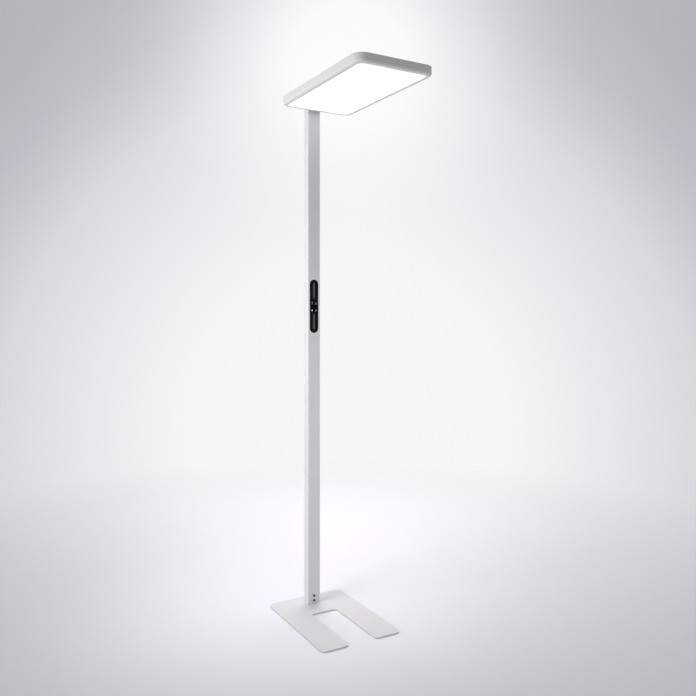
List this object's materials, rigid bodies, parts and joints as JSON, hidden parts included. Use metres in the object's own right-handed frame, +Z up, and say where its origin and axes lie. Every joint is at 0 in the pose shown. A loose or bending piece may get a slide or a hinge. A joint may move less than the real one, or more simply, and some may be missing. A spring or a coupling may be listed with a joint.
{
  "type": "office floor lamp",
  "caption": "Free-standing office floor lamp: a flat light head with a glowing underside, held by a slim rectangular mast with a black touch panel, on a thin U-shaped base plate.",
  "frame": {"origin": "on the floor, straight below the axis of the mast, on the underside of the rear floor mat", "axes": "+Z up along the mast; +X forward, the way the head and the two legs reach from the mast; +Y to the left of the lamp for someone who looks along +X"},
  "size_m": [0.672, 0.314, 1.95],
  "materials": {
    "white_paint": "matte white powder coat",
    "mat_rubber": "matte",
    "cast_aluminium": "machined",
    "sheet_aluminium": "satin sheet",
    "zinc_steel": "zinc plated",
    "black_steel": "black oxide",
    "gland_plastic": "light grey, moulded",
    "seal_rubber": "matte",
    "gear_plastic": "white, moulded",
    "white_sheath": "smooth sheath",
    "black_sheath": "smooth sheath",
    "carrier_plastic": "black, moulded",
    "green_board": "green solder mask",
    "line_light": "dimly lit light guide",
    "status_lens": "lit white",
    "mark_print": "grey print",
    "black_gloss": "high gloss black",
    "opal_sheet": "opal, lit from inside",
    "reflector_white": "matte white",
    "white_board": "white solder mask",
    "clear_sheet": "clear"
  },
  "bodies": {
    "root": {"base_plate": "white_paint", "mast_tube": "white_paint", "mast_cap": "white_paint", "head_housing": "white_paint", "top_cover": "white_paint", "floor_mats": "mat_rubber", "mast_foot": "cast_aluminium", "head_arm": "cast_aluminium", "light_tray": "sheet_aluminium", "base_screws": "zinc_steel", "gear_strip": "zinc_steel", "driver_screws": "zinc_steel", "board_screws": "zinc_steel", "cap_screws": "zinc_steel", "tray_arm_screws": "zinc_steel", "tray_screws": "zinc_steel", "cover_screws": "zinc_steel", "clamp_screws": "black_steel", "arm_screws": "black_steel", "gland_body": "gland_plastic", "gland_cap": "gland_plastic", "gland_nut": "gland_plastic", "gland_seal": "seal_rubber", "terminal_block": "gear_plastic", "led_driver": "gear_plastic", "head_connector": "gear_plastic", "lead_guides": "gear_plastic", "mains_lead": "white_sheath", "head_lead": "white_sheath", "touch_lead": "black_sheath", "panel_carrier": "carrier_plastic", "touch_board": "green_board", "slider_lights": "line_light", "status_light": "status_lens", "touch_marks": "mark_print", "touch_cover": "black_gloss", "diffuser": "opal_sheet", "reflector_frame": "reflector_white", "down_boards": "white_board", "up_boards": "white_board", "top_lens": "clear_sheet"}
  },
  "joints": []
}
